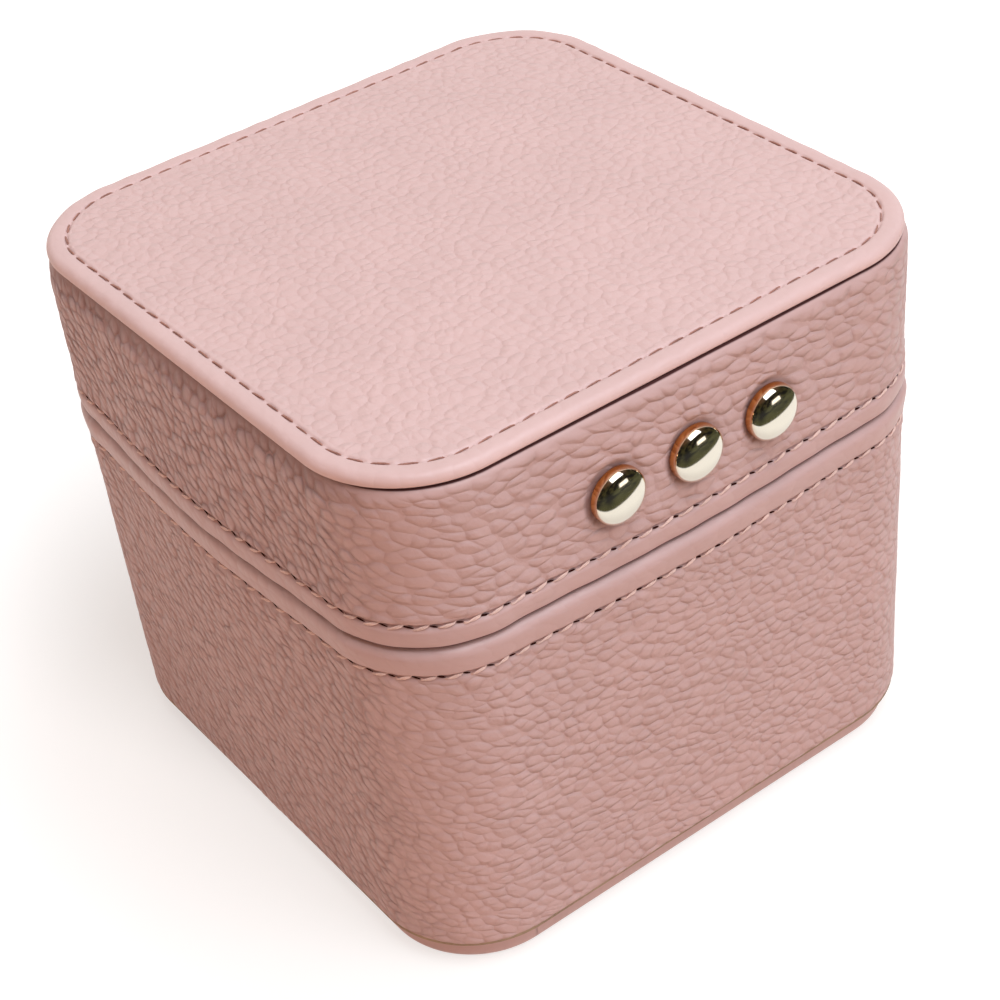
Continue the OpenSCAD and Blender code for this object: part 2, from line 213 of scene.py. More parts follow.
# -------------------- node networks
class Net:
    """Builds the same chain of nodes in a shader tree or in a geometry tree."""

    def __init__(self, tree):
        self.tree = tree

    def add(self, kind, **props):
        n = self.tree.nodes.new(kind)
        for k, v in props.items():
            setattr(n, k, v)
        return n

    def put(self, socket, value):
        if hasattr(value, "is_output"):
            self.tree.links.new(value, socket)
        elif value is not None:
            socket.default_value = value

    def math(self, op, a, b=None, c=None, clamp=False):
        n = self.add("ShaderNodeMath", operation=op, use_clamp=clamp)
        for s, v in zip(n.inputs, (a, b, c)):
            self.put(s, v)
        return n.outputs[0]

    def mul(self, a, b):
        return self.math("MULTIPLY", a, b)

    def fma(self, a, b, c, clamp=False):
        """a * b + c"""
        return self.math("MULTIPLY_ADD", a, b, c, clamp)

    def vec(self, op, a, b=None, scale=None):
        n = self.add("ShaderNodeVectorMath", operation=op)
        self.put(n.inputs[0], a)
        if b is not None:
            self.put(n.inputs[1], b)
        if scale is not None:
            self.put(n.inputs["Scale"], scale)
        return n.outputs["Vector"]

    def noise(self, v, scale, detail=2.0, rough=0.5, colour=False, flat=False):
        n = self.add("ShaderNodeTexNoise", noise_dimensions="2D" if flat else "3D")
        self.put(n.inputs["Vector"], v)
        for socket, value in (("Scale", scale), ("Detail", detail), ("Roughness", rough)):
            n.inputs[socket].default_value = value
        return n.outputs["Color"] if colour else n.outputs[0]

    def cells(self, v, random, edge=True):
        feature = "DISTANCE_TO_EDGE" if edge else "F1"
        n = self.add("ShaderNodeTexVoronoi", voronoi_dimensions="2D", feature=feature)
        self.put(n.inputs["Vector"], v)
        n.inputs["Scale"].default_value = 1.0
        n.inputs["Randomness"].default_value = random
        return n.outputs["Distance"]

    def part(self, v, axis):
        n = self.add("ShaderNodeSeparateXYZ")
        self.put(n.inputs[0], v)
        return n.outputs[axis]

    def span(self, x, a, b, c=0.0, d=1.0):
        """c to d as x goes from a to b, with soft ends."""
        n = self.add("ShaderNodeMapRange", interpolation_type="SMOOTHSTEP")
        for s, v in zip(n.inputs, (x, a, b, c, d)):
            self.put(s, v)
        return n.outputs[0]

    def mix(self, f, a, b):
        n = self.add("ShaderNodeMix", data_type="RGBA")
        for socket, value in ((0, f), (6, a), (7, b)):
            self.put(n.inputs[socket], value)
        return n.outputs[2]

    def read(self, name, vector=False):
        if self.tree.type == "GEOMETRY":
            n = self.add("GeometryNodeInputNamedAttribute", data_type="FLOAT_VECTOR" if vector else "FLOAT")
            n.inputs[0].default_value = name
            return n.outputs[0]
        n = self.add("ShaderNodeAttribute", attribute_type="GEOMETRY", attribute_name=name)
        return n.outputs["Vector" if vector else "Fac"]

    def place(self):
        if self.tree.type == "GEOMETRY":
            return self.add("GeometryNodeInputPosition").outputs[0]
        return self.add("ShaderNodeTexCoord").outputs["Object"]


def grain(net, crease=1.0):
    """Height, creases and pebbles, 0 to 1, of leather. The attribute "grain" counts cells along and up the piece."""
    v = net.read("grain", True)
    for scale, reach in ((0.16, 1.2), (0.6, 0.42)):
        warp = net.vec("SUBTRACT", net.noise(v, scale, 1, 0.4, colour=True, flat=True), (0.5, 0.5, 0.5))
        v = net.vec("ADD", v, net.vec("SCALE", warp, scale=reach))
    near = net.cells(v, 0.78, edge=False)
    edge = net.cells(v, 0.78)
    fade = net.span(net.noise(v, 0.7, 1, flat=True), 0.36, 0.6, 0.3, 1.0)
    line = net.mul(net.span(edge, 0.0, 0.24, 1.0, 0.0), fade)
    pillow = net.fma(net.mul(near, near), -2.1, 1.0, clamp=True)
    h = net.fma(line, -0.12 * crease, 0.2)
    h = net.fma(net.mul(pillow, net.fma(fade, 0.5, 0.5)), 0.66, h)
    wrinkle = net.noise(net.vec("MULTIPLY", v, (4.6, 1.2, 1.0)), 1.0, 2, 0.6, flat=True)
    h = net.fma(wrinkle, 0.1, h)
    return net.fma(net.noise(v, 2.6, 2, 0.6, flat=True), 0.09, h), line, pillow


def material(name):
    mat = bpy.data.materials.new(name)
    mat.use_nodes = True
    net = Net(mat.node_tree)
    shader = mat.node_tree.nodes["Principled BSDF"]
    return mat, net, shader


def srgb(r, g, b):
    """Linear colour of a screen colour, 0 to 255."""
    f = lambda c: c / 255 / 12.92 if c <= 10 else ((c / 255 + 0.055) / 1.055) ** 2.4
    return (f(r), f(g), f(b), 1.0)


def tint(colour, k):
    return srgb(*[min(255, v * k) for v in colour])


def set_bump(net, shader, height, depth_mm):
    b = net.add("ShaderNodeBump")
    b.inputs["Strength"].default_value = 1.0
    b.inputs["Distance"].default_value = depth_mm / 1000
    net.put(b.inputs["Height"], height)
    net.put(shader.inputs["Normal"], b.outputs[0])


# dark maroon of the edge paint; it also paints the shade in the crevices, round the studs and under the panel at the
# left
EDGE_AND_SHADE_COLOUR = srgb(66, 8, 10)


def leather(name, depth, colour=(199, 165, 161), dark=(150, 104, 95), crease=1.0, left_shade=0.0):
    """Pebbled leather. Its meshes hold "rough", the grain's share, "ink", the share of dark edge paint and painted
    shade, and "fine", the left side's share, where left_shade paints shade into the valleys. The creases get a little
    painted shade too."""
    mat, net, sh = material(name)
    h, lines, pillow = grain(net, crease)
    mask = net.read("rough")
    low = net.mul(lines, mask)
    tone = net.span(net.noise(net.place(), 80, 2, 0.6), 0.3, 0.7)
    c = net.mix(tone, tint(colour, 0.991), tint(colour, 1.009))
    deep = net.span(pillow, 0.2, 0.9, left_shade, 0.0)
    left_valley_shade = net.mul(deep, net.mul(mask, net.read("fine")))
    # painted shade: the grain's creases a little darker everywhere, its valleys darker on the left side
    c = net.mix(net.fma(low, 0.12, left_valley_shade), c, srgb(*dark))
    # edge paint and painted shade, by each mesh's share
    net.put(sh.inputs["Base Color"], net.mix(net.read("edge_paint_and_shade"), c, EDGE_AND_SHADE_COLOUR))
    rough = net.fma(low, 0.2, net.fma(mask, 0.05, 0.38))
    net.put(sh.inputs["Roughness"], net.fma(net.read("edge_paint_and_shade"), 0.5, rough))
    sh.inputs["Specular IOR Level"].default_value = 0.5
    sh.inputs["Sheen Weight"].default_value = 0.08
    sh.inputs["Sheen Roughness"].default_value = 0.4
    hm = net.mul(net.math("SUBTRACT", h, 1.0), net.fma(mask, 0.94, 0.06))
    hm = net.mul(hm, net.fma(net.read("fine"), 0.85, 1.0))
    set_bump(net, sh, hm, depth)
    return mat


def emboss(obj, depth):
    """Presses the leather's grain into the mesh itself."""
    tree = bpy.data.node_groups.new("grain_" + obj.name, "GeometryNodeTree")
    tree.interface.new_socket("Geometry", in_out="INPUT", socket_type="NodeSocketGeometry")
    tree.interface.new_socket("Geometry", in_out="OUTPUT", socket_type="NodeSocketGeometry")
    net = Net(tree)
    a, z = net.add("NodeGroupInput"), net.add("NodeGroupOutput")
    move = net.add("GeometryNodeSetPosition")
    h = net.mul(net.math("SUBTRACT", grain(net)[0], 0.75), net.read("rough"))
    normal = net.add("GeometryNodeInputNormal").outputs[0]
    net.put(move.inputs["Offset"], net.vec("SCALE", normal, scale=net.mul(h, depth / 1000)))
    tree.links.new(a.outputs[0], move.inputs["Geometry"])
    tree.links.new(move.outputs[0], z.inputs[0])
    mod = obj.modifiers.new("grain", "NODES")
    mod.node_group = tree
    dg = bpy.context.evaluated_depsgraph_get()
    new = bpy.data.meshes.new_from_object(obj.evaluated_get(dg), preserve_all_data_layers=True, depsgraph=dg)
    obj.modifiers.clear()
    obj.data = new
    bpy.data.node_groups.remove(tree)


# width and height of the pebbles, mm
LID_CELL, BASE_CELL, TOP_CELL, FINE_CELL = (3.1, 1.75), (2.4, 1.62), (1.8, 1.7), (2.0, 1.8)
# the lid and base get painted shade in their left side's valleys, the lid more
M_LID = leather("leather_lid", 0.53, left_shade=0.36)
M_BASE = leather("leather_base", 0.45, left_shade=0.24)
# the top is paler than the walls: painted light for the stronger light and sheen the top gets
M_TOP_PAINTED_PALER = leather("leather_top", 0.27, colour=(222, 189, 185), dark=(218, 182, 177), crease=0.3)
M_FOOT = leather("leather_foot", 0.2)


def plain(name, colour, rough, scale, depth, metal=0.0, vary=0.04, sheen=0.0, spec=0.5, streak=None):
    """Fine noise in colour, roughness and relief over one finish."""
    mat, net, sh = material(name)
    p = net.place()
    if streak:
        p = net.vec("MULTIPLY", p, streak)
    n = net.noise(p, scale, 4, 0.65)
    wide = net.noise(p, scale / 14, 3, 0.6)
    t = net.span(net.math("ADD", net.mul(n, 0.5), net.mul(wide, 0.5)), 0.3, 0.7)
    net.put(sh.inputs["Base Color"], net.mix(t, tint(colour, 1 - vary), tint(colour, 1 + vary)))
    net.put(sh.inputs["Roughness"], net.fma(n, 0.1, rough - 0.05))
    sh.inputs["Metallic"].default_value = metal
    sh.inputs["Specular IOR Level"].default_value = spec
    if sheen:
        sh.inputs["Sheen Weight"].default_value = sheen
        sh.inputs["Sheen Roughness"].default_value = 0.35
    set_bump(net, sh, n, depth)
    return mat


M_THREAD = plain("thread_pale", (228, 198, 188), 0.6, 4200, 0.03, vary=0.06, sheen=0.2)
# the top row's brown thread is painted shade of the slits it lies in
M_THREAD_SHADED = plain("thread_brown_painted_shade", (168, 120, 106), 0.6, 4200, 0.03, vary=0.12, sheen=0.1)
# the needle holes' dark colour is painted shade of their depth
M_HOLE_SHADE = plain("needle_hole", (58, 26, 22), 0.8, 2500, 0.02, vary=0.2, spec=0.1)
M_BRASS = plain("brass_satin", (222, 188, 128), 0.3, 1500, 0.008, metal=1.0, streak=(1, 6, 6))
M_STEEL = plain("steel_satin", (176, 176, 180), 0.34, 1500, 0.008, metal=1.0, streak=(1, 6, 6))
M_VELVET = plain("velvet", (232, 217, 200), 0.9, 2600, 0.08, vary=0.025, sheen=0.6, spec=0.2)
M_BOARD = plain("greyboard", (158, 138, 116), 0.85, 1400, 0.05, vary=0.12, spec=0.2, streak=(1, 1, 3))
M_FOAM = plain("foam", (226, 214, 190), 0.9, 1800, 0.12, vary=0.06, spec=0.2)
M_RIBBON = plain("ribbon", (214, 170, 160), 0.45, 3000, 0.03, vary=0.05, sheen=0.3, streak=(1, 0.25, 2))
M_GLASS = plain("silvered_glass", (222, 228, 230), 0.04, 200, 0.0005, metal=1.0, vary=0.006)

# polished dome; its colour turns copper towards the leather, a painted reflection of the pink leather round it
M_GOLD, net, sh = material("gold_polished")
p = net.place()
n = net.noise(p, 900, 3)
y = net.fma(net.noise(p, 300, 2), 0.0004, net.part(p, 1))
rim = net.span(y, (stud_lo[1] + 0.7) / 1000, (stud_lo[1] + 1.9) / 1000)
champagne = net.mix(n, srgb(228, 222, 206), srgb(234, 227, 211))
net.put(sh.inputs["Base Color"], net.mix(rim, champagne, srgb(222, 160, 96)))
net.put(sh.inputs["Roughness"], net.fma(n, 0.06, 0.07))
sh.inputs["Metallic"].default_value = 1.0
set_bump(net, sh, n, 0.003)

# -------------------- leather walls
STITCHES = 106
PITCH = N_PATH / STITCHES  # outline places from stitch to stitch
PLACE_MM = 0.4363  # about how far apart two outline places are
STEP = 2 * CORNER_C / N_SIDE  # how far apart those of a side are, mm
JOIN = 2 * (N_SIDE + N_ARC) + N_SIDE // 2  # outline place in the middle of the back
CLEAR = 1.8  # mm between the leather and the hinges' axis
SINK = 0.86  # how far the leather lies below its rim under the hinges' leaves, mm
TURN_IN = 4.04  # step in of the leather turned over a rim, mm
JOIN_DEPTH, JOIN_WIDTH = 0.3, 0.35  # groove where a wall's leather meets, mm
DRAWN_IN = 0.8  # how far the left wall goes in under the panel, mm
STUD_SEAT = 0.6  # how far the leather is drawn in round the studs, mm
BASE_PRESS, LID_PRESS, TOP_PRESS = 0.12, 0.15, 0.06  # depth of the grain in the meshes, mm


def holes_near(i, z, row):
    """How close a point is to a needle hole of a row, 0 to 1."""
    d = ((i / PITCH + 0.5) % 1 - 0.5) * PITCH * PLACE_MM
    return np.exp(-((d / 0.5) ** 2) - ((z - row) / 0.45) ** 2)


def relief(i, z, row, rim, side):
    """Outward swell of a stitched band: pulled in along the row, round between the row and the rim. side is 1 where
    the rim lies above the row and -1 where it lies below."""
    t = np.clip((z - row) / (rim - row), 0, 1)
    if side > 0:
        band = 0.46 * np.sin(PI * t ** 1.2 * 0.82) ** 0.7
    else:
        band = 0.26 * np.sin(PI * t ** 0.8) ** 0.8 - 0.1 * t ** 4
    fold = 0.18 * bump(z, row - side * 1.4, 0.75) * (1 + 0.5 * np.cos(2 * PI * i / PITCH))
    pull = 0.45 * bump(z, row, 0.42)
    return band + fold - pull - 0.3 * holes_near(i, z, row)


def hinge_room(p, rim, side):
    """Keeps the leather off the knuckles and under the leaves."""
    near = np.abs(np.abs(p[..., 0]) - HINGE_X) < HINGE_W / 2 + 0.35
    dy, dz = p[..., 1] - AXIS_Y, p[..., 2] - SEAM
    r = np.hypot(dy, dz)
    hit = near & (r < CLEAR) & (p[..., 1] > 0)
    k = CLEAR / np.maximum(r, 1e-6)
    p[..., 1] = np.where(hit, AXIS_Y + dy * k, p[..., 1])
    p[..., 2] = np.where(hit, SEAM + dz * k, p[..., 2])
    level = rim - SINK * side
    over = near & (p[..., 1] > leaf_lo[1] - 0.1) & (p[..., 1] < AXIS_Y) & ((p[..., 2] - level) * side > 0)
    p[..., 2] = np.where(over, level, p[..., 2])
    return p


def stud_near(p):
    """How close points of the front wall are to a stud's edge, 0 to 1."""
    r = np.min([np.hypot(p[..., 0] - STUD_X - q * STUD_PITCH, p[..., 2] - STUD_Z) for q in (-1, 0, 1)], 0)
    return (p[..., 1] < 0) * np.exp(-((np.maximum(r - STUD_R, 0) / 0.7) ** 2))


def cell_count(i, z, cell, middle):
    """Cells along and up a wall, a little leaning; those of the left side are rounder."""
    fine = along(i[0], FINE)
    wide = cell[0] * (1 - fine) + FINE_CELL[0] * fine
    count = np.concatenate([[0], np.cumsum(STEP / wide[:-1])])
    up = (z - middle) / (cell[1] * (1 - fine) + FINE_CELL[1] * fine)
    return np.stack([count + 0.3 * up, up, up * 0], -1)


def skin(name, profile, row, rim, side, rough, edge_paint_and_shade, mat, cell, depth):
    """A wall's leather, a strip whose ends meet in the middle of the back. profile lists (step in, height); rough and
    ink give at each the grain's share and that of the dark edge paint and painted crevice shade; side is 1 on the base
    and -1 on the lid."""
    ins, z = np.array(profile).T
    i = np.broadcast_to(np.arange(N_PATH + 1, dtype=float), (len(z), N_PATH + 1))
    s, i = i * STEP, i + JOIN
    zz = np.broadcast_to(z[:, None], i.shape)
    fine = along(i, FINE)
    push = relief(i, zz, row, rim, side) * (1 - smooth_step(ins, 0.1, 1.5))[:, None]
    # the join's groove, the wall drawn in under the panel at the left, and two slow waves
    push = push - JOIN_DEPTH * np.exp(-((np.minimum(s, s[0, -1] - s) / JOIN_WIDTH) ** 2))
    push = push - DRAWN_IN * fine * smooth_step(zz, LID_TOP - 4.4, LID_TOP - 1.0)
    push = push + 0.05 * np.sin(s * 0.34 + zz * 0.11) * np.sin(zz * 0.23 + s * 0.07)
    push = push + 0.05 * np.sin(s * 0.8 + 1.7 * np.sin(zz * 0.5)) * bump(zz, rim, 4)
    p = wall(i, ins[:, None], zz, push)
    near = stud_near(p)
    p[..., 1] += STUD_SEAT * near
    obj = mesh(name, hinge_room(p, rim, side), grid_faces(len(z), N_PATH + 1, closed=False))
    count_cells(obj, cell_count(i, zz, cell, (z.min() + z.max()) / 2))
    soft = 1 - 0.25 * np.sin(PI * along(i, BEND)) ** 2
    attribute(obj, "rough", rough(z)[:, None] * soft * (1 - 0.6 * near))
    # dark edge paint that also stands in for crevice shade, painted shade round the studs, darker below them, and a
    # painted shadow under the panel's edge at the left
    paint_and_shade = edge_paint_and_shade(ins, z)[:, None] * np.where(zz > SEAM + 5, along(i, UNDER_PANEL_SHADE), 1.0)
    paint_and_shade = np.maximum(paint_and_shade, near * (0.1 + 0.3 * smooth_step(zz, STUD_Z, STUD_Z - STUD_R)))
    paint_and_shade = np.maximum(paint_and_shade, 0.34 * fine * smooth_step(zz, LID_TOP - 4.6, LID_TOP - 0.7))
    attribute(obj, "edge_paint_and_shade", paint_and_shade)
    attribute(obj, "fine", fine)
    emboss(obj, depth)
    obj.data.materials.append(mat)
    return obj


def heights(a, b, row):
    """Heights from a to b, closer together near a row of stitches."""
    lo, hi = row - 1.2, row + 1.2
    return [*steps(a, lo, 0.45)[:-1], *steps(lo, hi, 0.16)[:-1], *steps(hi, b, 0.45)]


BASE_ROLL, LID_ROLL, TOP_ROLL = 1.7, 0.25, 2.0
base_profile = [(3.4, BASE_FOOT + 0.05), (2.2, BASE_FOOT + 0.02)] + arc(1, BASE_FOOT + 1, 1, 270, 180, 6)
base_profile += [(0, z) for z in heights(BASE_FOOT + 1, BASE_RIM - BASE_ROLL, BASE_ROW)[1:]]
base_profile += arc(BASE_ROLL, BASE_RIM - BASE_ROLL, BASE_ROLL, 180, 90, 14)[1:]
base_profile += [(2.7, BASE_RIM), (3.4, BASE_RIM), (3.96, BASE_RIM - 0.06)]
base_profile += [(TURN_IN, BASE_RIM - 0.5), (TURN_IN, BASE_RIM - 1.2)]
base_skin = skin(
    "base_leather_skin", base_profile, BASE_ROW, BASE_RIM, 1,
    lambda z: 0.1 + 0.9 * smooth_step(z, BASE_ROW - 0.1, BASE_ROW - 1.1),
    # darker at the foot and on the rim's inner roll, under the lid: edge paint that also stands in for the shade in
    # these crevices
    lambda ins, z: 0.75 * smooth_step(z, BASE_FOOT + 0.5, BASE_FOOT)
    + 0.35 * smooth_step(ins, 0.9, 1.6) * (z > SEAM - 3),
    M_BASE, BASE_CELL, BASE_PRESS)
lid_profile = [(TURN_IN, LID_RIM + 1.2), (TURN_IN, LID_RIM + 0.5), (3.96, LID_RIM + 0.06)]
lid_profile += [(3.0, LID_RIM), (1.9, LID_RIM), (0.6, LID_RIM)]
lid_profile += arc(LID_ROLL, LID_RIM + LID_ROLL, LID_ROLL, 270, 180, 6) + [(0, LID_RIM + 0.33), (0, LID_RIM + 0.42)]
lid_profile += [(0, z) for z in heights(LID_RIM + 0.5, LID_TOP - TOP_ROLL, LID_ROW)]
lid_profile += arc(TOP_ROLL, LID_TOP - TOP_ROLL, TOP_ROLL, 180, 90, 30)[1:] + [(3.0, LID_TOP - 0.02)]
lid_skin = skin(
    "lid_leather_skin", lid_profile, LID_ROW, LID_RIM, -1,
    lambda z: 0.1 + 0.9 * smooth_step(z, LID_ROW + 0.1, LID_ROW + 1.1) * smooth_step(z, LID_TOP - 0.6, LID_TOP - 2.2),
    # dark edge paint in the crease under the panel and along the rim's lower edge, also standing in for the shade
    # there, and painted shade on the rim's inner part
    lambda ins, z: 0.95 * smooth_step(ins, 0.74, 0.86) * (z > SEAM + 5)
    + np.where(ins < 0.5, 0.92 * smooth_step(z, LID_RIM + 0.42, LID_RIM + 0.32), 0.35) * (z < SEAM + 3),
    M_LID, LID_CELL, LID_PRESS)


# -------------------- top panel
def plate_mesh(profile, push):
    """Rings from the rim inwards to the corner centres, then a square grid between them."""
    ins, z = np.array(profile, float).T
    i = np.arange(N_PATH, dtype=float)
    p = stacked(along(i, PTS) - unit(along(i, NRM)) * ins[:, None, None], z[:, None]).reshape(-1, 3)
    m, quarter = N_SIDE, N_SIDE + N_ARC
    # the four sides of the grid are the last ring's straight parts
    ring = (len(z) - 1) * N_PATH + np.arange(m + 1)
    idx = np.zeros((m + 1, m + 1), int)
    idx[0] = ring
    idx[1:, m] = ring[1:] + quarter
    idx[m, :m] = ring[:0:-1] + 2 * quarter
    idx[:m, 0] = ring[:0:-1] + 3 * quarter
    idx[1:m, 1:m] = len(p) + np.arange((m - 1) ** 2).reshape(m - 1, m - 1)
    grid = np.stack(np.meshgrid(*[np.linspace(-CORNER_C, CORNER_C, m + 1)[1:m]] * 2), -1)
    p = np.concatenate([p, stacked(grid, z[-1]).reshape(-1, 3)])
    inner = np.stack([idx[:-1, :-1], idx[:-1, 1:], idx[1:, 1:], idx[1:, :-1]], -1).reshape(-1, 4)
    p[:, 2] += push(p)
    return p, grid_faces(len(z), N_PATH).tolist() + inner.tolist()


def step_in(p):
    """Step in from the wall of points on the panel."""
    x, y = np.abs(p[:, 0]), np.abs(p[:, 1])
    cx, cy = np.maximum(x - CORNER_C, 0), np.maximum(y - CORNER_C, 0)
    return np.where((cx > 0) & (cy > 0), CORNER_R - np.hypot(cx, cy), HALF - np.maximum(x, y))


def path_place(p, inset):
    """Length along a row stitched at inset, for points near it."""
    c, r = CORNER_C, CORNER_R - inset
    quarter = 2 * c + PI / 2 * r
    best = np.full(len(p), 1e9)
    out = np.zeros(len(p))
    for k in range(4):
        a = math.radians(-90 + 90 * k)
        nx, ny = math.cos(a), math.sin(a)
        u = -p[:, 0] * ny + p[:, 1] * nx
        v = p[:, 0] * nx + p[:, 1] * ny
        d = np.abs(v - (c + r)) + 1e3 * (np.abs(u) > c)
        out = np.where(d < best, k * quarter + u + c, out)
        best = np.minimum(best, d)
        du, dv = u - c, v - c
        t = np.arctan2(du, dv)
        d = np.abs(np.hypot(du, dv) - r) + 1e3 * ((du < 0) | (dv < 0))
        out = np.where(d < best, k * quarter + 2 * c + t * r, out)
        best = np.minimum(best, d)
    return out


PANEL_COUNT = 99
ROW_LEN = 8 * CORNER_C + 2 * PI * (CORNER_R - PANEL_ROW)
PANEL_PITCH = ROW_LEN / PANEL_COUNT


def panel_push(p):
    """How far the top rises over its flat plate: a furrow under each stitch, a bead outside the row and a crown."""
    i = step_in(p)
    s = path_place(p, PANEL_ROW)
    ph = np.abs((s / PANEL_PITCH) % 1 - 0.5) * 2
    dash = smooth_step(ph, 0.98, 0.7)
    top = smooth_step(p[:, 2], TOP - 0.9, TOP - 0.1)
    groove = -(0.06 + 0.3 * dash) * bump(i, PANEL_ROW, 0.28)
    bead = 0.1 * bump(i, PANEL_ROW - 1.5, 0.9)
    bead = bead + 0.05 * np.sin(s * 0.9 + 2 * np.sin(s * 0.21)) * bump(i, 1.6, 1.2)
    fold = 0.08 * bump(i, PANEL_ROW + 1.3, 0.8)
    crown = 0.35 * smooth_step(i, 4, 26)
    return top * (groove + bead + fold + crown)


PANEL_ROLL, PANEL_FOOT_ROLL = 1.15, 0.55
panel_profile = [(3.0, PANEL_LOW + 0.02), (2.0, PANEL_LOW)]
panel_profile += arc(PANEL_IN + PANEL_FOOT_ROLL, PANEL_LOW + PANEL_FOOT_ROLL, PANEL_FOOT_ROLL, 270, 180, 9)
panel_profile += arc(PANEL_IN + PANEL_ROLL, TOP - PANEL_ROLL, PANEL_ROLL, 180, 90, 12)
panel_profile += [(i, TOP) for i in steps(PANEL_IN + PANEL_ROLL, PANEL_ROW + 1, 0.15)[1:-1]]
panel_profile += [(i, TOP) for i in steps(PANEL_ROW + 1, CORNER_R, 0.44)]
pp, pf = plate_mesh(panel_profile, panel_push)
panel_skin = mesh("panel_leather_skin", pp, pf)
count_cells(panel_skin, np.pad(pp[:, :2] / TOP_CELL, ((0, 0), (0, 1))))
attribute(panel_skin, "rough", 0.2 + 0.8 * smooth_step(step_in(pp), PANEL_ROW + 0.1, PANEL_ROW + 1.2))
# painted shade along the panel's lower edge, in the crease above the wall, less at the left; the inner grid gets none
line = np.concatenate([np.tile(UNDER_PANEL_SHADE, len(panel_profile)), np.zeros(len(pp) - len(panel_profile) * N_PATH)])
attribute(panel_skin, "edge_paint_and_shade", 0.95 * line * smooth_step(pp[:, 2], PANEL_LOW + 0.14, PANEL_LOW + 0.04))
emboss(panel_skin, TOP_PRESS)
panel_skin.data.materials.append(M_TOP_PAINTED_PALER)

# -------------------- bottom panel
FOOT_LOW_ROLL, FOOT_ROLL = 1.5, 0.9
foot_profile = [(9.0, 0.0), (6.0, 0.0), (FOOT_IN + 2.2, 0.0)]
foot_profile += arc(FOOT_IN + FOOT_LOW_ROLL, FOOT_LOW_ROLL, FOOT_LOW_ROLL, 270, 180, 8)
foot_profile += [(FOOT_IN, z) for z in steps(FOOT_LOW_ROLL, FOOT_TOP - FOOT_ROLL, 0.45)[1:]]
foot_profile += arc(FOOT_IN + FOOT_ROLL, FOOT_TOP - FOOT_ROLL, FOOT_ROLL, 180, 90, 6)[1:] + [(FOOT_IN + 1.8, FOOT_TOP)]
ins, z = np.array(foot_profile).T
i = np.broadcast_to(np.arange(N_PATH, dtype=float), (len(z), N_PATH))
fp = wall(i, ins[:, None], z[:, None], -BELLY * swell(z)[:, None])
foot_skin = mesh("bottom_leather_skin", fp, grid_faces(len(z), N_PATH).tolist() + [cap(0, N_PATH, -1)], M_FOOT)
run = np.cumsum(np.hypot(*np.diff(foot_profile, axis=0, prepend=0).T))
foot_s = np.stack(np.broadcast_arrays(i * STEP, run[:, None], 0.0), -1)
count_cells(foot_skin, foot_s / (*BASE_CELL, 1))
attribute(foot_skin, "rough", np.broadcast_to(0.25 * smooth_step(z, 0.3, 1.5)[:, None], i.shape))
# darker along its top edge, under the wall: edge paint that also stands in for the shade of that groove
attribute(foot_skin, "edge_paint_and_shade", np.broadcast_to(0.8 * smooth_step(z, FOOT_TOP - 0.35, FOOT_TOP)[:, None], i.shape))


# -------------------- stitches
WALL_STITCH, TOP_STITCH = 1.3, 1.36  # half their lengths, mm
STITCH_LEAN, HOLE_LEAN = 15, -16  # degrees
THREAD_R, PLY_R = 0.125, 0.115  # of a ply and of its way round the other one, mm
HOLE_LONG, HOLE_WIDE = 0.72, 0.17  # half of each, mm


def strands(name, centre, across, lift, radius, mat):
    """One mesh of short two-ply stitches. centre, across and lift are arrays (stitches, steps, 3)."""
    n, m = centre.shape[:2]
    k = 8
    a = np.arange(k) / k * 2 * PI
    u = np.linspace(-1, 1, m)
    taper = np.clip(1 - np.abs(u) ** 5, 0.12, 1) ** 0.6
    twist = u * 2.2 * PI
    lobes = 1 + 0.2 * np.cos(2 * (a[None, :] - twist[:, None]))
    r = np.reshape(radius, (-1, 1, 1)) * (taper[:, None] * lobes)[None]
    off = across[:, :, None, :] * (r * np.cos(a))[..., None] + lift[:, :, None, :] * (r * np.sin(a))[..., None]
    faces = grid_faces(m, k)[None] + (np.arange(n) * m * k)[:, None, None]
    return mesh(name, centre[:, :, None, :] + off, faces.reshape(-1, 4)[:, ::-1], mat)


def off_line(c, out):
    """Directions across and off lines of points on a face that looks to out."""
    run = unit(np.gradient(c, axis=1))
    side = unit(np.cross(run, out))
    return side, unit(np.cross(side, run))


def wall_stitches(name, row):
    """A row of leaning stitches round a wall, two plies each."""
    u = np.linspace(-1, 1, 11)[None, :]
    n = STITCHES
    at = (np.arange(n) + 0.5)[:, None] * PITCH
    long = WALL_STITCH * (1 + RNG.uniform(-0.08, 0.08, (n, 1)))
    tilt = np.tan(np.radians(STITCH_LEAN + RNG.uniform(-5, 5, (n, 1))))
    i = at + u * long / PLACE_MM
    z = row + u * long * tilt + RNG.uniform(-0.05, 0.05, (n, 1))
    c = wall(i, 0.0, z, -0.38 + 0.4 * (1 - np.abs(u) ** 4))
    side, lift = off_line(c, stacked(unit(along(i, NRM)), 0.0))
    turn = u * 2.2 + RNG.uniform(-0.5, 0.5, (n, 1))
    ply = (side * np.cos(turn)[..., None] + lift * 0.5 * np.sin(turn)[..., None]) * PLY_R
    both = np.concatenate([c + ply, c - ply])
    return strands(name, both, np.concatenate([side, side]), np.concatenate([lift, lift]), THREAD_R, M_THREAD)


